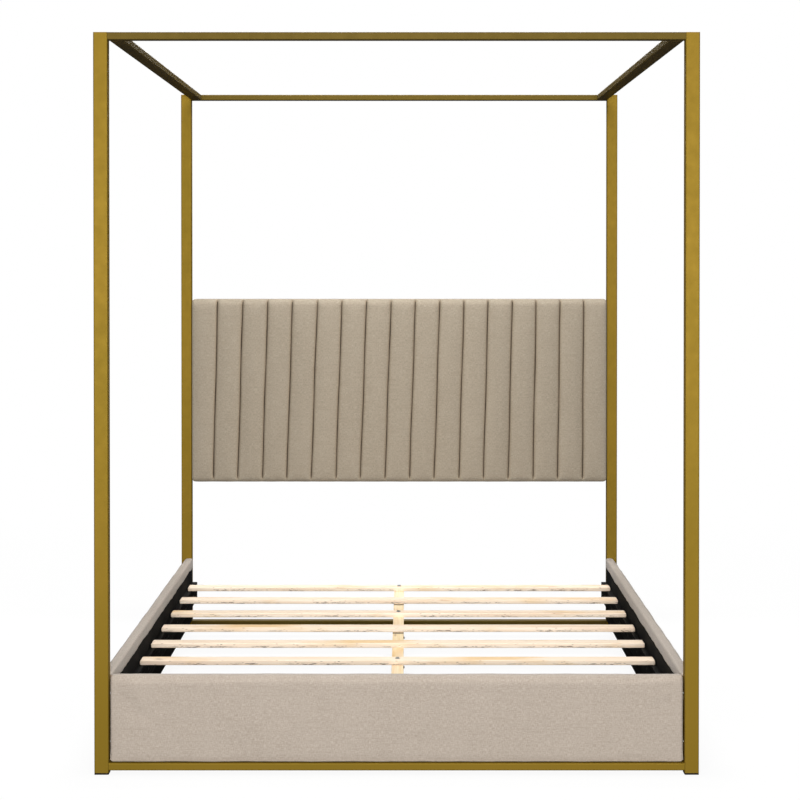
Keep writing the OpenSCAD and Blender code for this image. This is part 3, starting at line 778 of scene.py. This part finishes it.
def close_ends_of_board(piece):
    """Joins the seam of the rows and fills the two open ends."""
    work = bmesh.new()
    work.from_mesh(piece.data)
    bmesh.ops.remove_doubles(work, verts=work.verts, dist=1e-6)
    bmesh.ops.holes_fill(work, edges=work.edges, sides=0)
    bmesh.ops.recalc_face_normals(work, faces=work.faces)
    work.to_mesh(piece.data)
    work.free()


# ---------------------------------------------------------------- stage

def make_floor():
    """Plain pale floor that fades to the backdrop's white far from the bed."""
    half, fade_start, fade_stop = 30.0, 1.8, 4.5
    mesh = bpy.data.meshes.new("floor")
    mesh.from_pydata([(-half, -half, 0), (half, -half, 0), (half, half, 0), (-half, half, 0)],
                     [], [(0, 1, 2, 3)])
    floor = bpy.data.objects.new("floor", mesh)
    bpy.context.scene.collection.objects.link(floor)
    g = Graph("pale_floor", Specular_IOR_Level=0.1, Roughness=0.9)
    at = g.place()
    away = g.add("VectorMath", {0: at}, "Value", operation="LENGTH")
    g.finish(colour=g.mix(g.noise(at, 3.0), srgb(244, 244, 244), srgb(250, 250, 250)))
    glow = g.add("Emission", {"Color": (1, 1, 1, 1), "Strength": 1.0})
    blend = g.add("MixShader", {0: g.span(away, fade_start, fade_stop, 0.92, 1.0),
                                1: g.shader.outputs[0], 2: glow})
    g.links.new(blend, g.nodes["Material Output"].inputs["Surface"])
    mesh.materials.append(g.material)
    floor.visible_glossy = False
    floor.visible_diffuse = False


def make_world():
    """White behind the bed, near black for what the bed reflects."""
    world = bpy.data.worlds.new("studio")
    bpy.context.scene.world = world
    world.use_nodes = True
    tree = world.node_tree
    tree.nodes.clear()
    path = tree.nodes.new("ShaderNodeLightPath")
    seen = tree.nodes.new("ShaderNodeBackground")
    seen.inputs["Color"].default_value = (1, 1, 1, 1)
    seen.inputs["Strength"].default_value = 1.0
    felt = tree.nodes.new("ShaderNodeBackground")
    felt.inputs["Color"].default_value = (1, 1, 1, 1)
    felt.inputs["Strength"].default_value = 0.06
    pick = tree.nodes.new("ShaderNodeMixShader")
    out = tree.nodes.new("ShaderNodeOutputWorld")
    tree.links.new(path.outputs["Is Camera Ray"], pick.inputs[0])
    tree.links.new(felt.outputs[0], pick.inputs[1])
    tree.links.new(seen.outputs[0], pick.inputs[2])
    tree.links.new(pick.outputs[0], out.inputs["Surface"])


def area_light(name, place, target, size, power):
    data = bpy.data.lights.new(name, "AREA")
    data.shape = "RECTANGLE"
    data.size, data.size_y = size
    data.energy = power
    light = bpy.data.objects.new(name, data)
    bpy.context.scene.collection.objects.link(light)
    light.location = place
    light.rotation_euler = (Vector(target) - Vector(place)).to_track_quat("-Z", "Y").to_euler()
    light.visible_camera = False


def make_lights():
    chest = (0, 0, 0.8)
    area_light("key", (-1.1, -6.5, 1.4), chest, (1.8, 1.4), 212)
    area_light("fill", (1.1, -6.5, 1.4), chest, (1.8, 1.4), 222)
    area_light("top", (0, -0.7, 5.0), (0, 0, 0.2), (3.5, 2.2), 165)
    area_light("headboard_top", (0, 0.5, 3.0), (0, 1.05, 1.2), (1.6, 0.3), 26)
    area_light("back", (0, 6.0, 4.4), chest, (3.0, 2.0), 220)
    area_light("side_left", (-6.5, 0.5, 1.2), chest, (3.0, 2.0), 70)
    area_light("side_right", (6.5, 0.5, 1.2), chest, (3.0, 2.0), 50)


def make_camera():
    """Studio view from the foot of the bed, a little right of its middle."""
    data = bpy.data.cameras.new("camera")
    data.sensor_width = 36
    data.lens = 91.323
    data.shift_x = -0.0075
    data.shift_y = -0.15
    data.clip_end = 200
    camera = bpy.data.objects.new("camera", data)
    bpy.context.scene.collection.objects.link(camera)
    camera.location = (0.025, cad_low.y - 5.387, 1.3833)
    camera.rotation_euler = (math.radians(90 - 0.699), 0, 0)
    bpy.context.scene.camera = camera


# ---------------------------------------------------------------- build

make_camera()
for node_name in nodes:
    dress(node_name)
make_headboard()
make_low_panel("footboard_upholstery", "footboard", 0, 1)
make_low_panel("side_rail_left_upholstery", "side_rail_left", 1, -1)
make_low_panel("side_rail_right_upholstery", "side_rail_right", 1, 1)
for panel in ("footboard", "side_rail_left", "side_rail_right"):
    make_lining(panel + "_inner_cloth", panel + "_lining", panel)
make_staples(*make_lining("headboard_back_cloth", "headboard_back_lining", "headboard"))
for slat_name in SLATS:
    timber(slat_name + "_board", slat_name, 0, True)
for part in ("front", "middle", "rear"):
    timber(f"centre_beam_{part}_timber", f"centre_beam_{part}", 1, False)
make_floor()
make_world()
make_lights()
bpy.context.scene.view_settings.view_transform = "Standard"
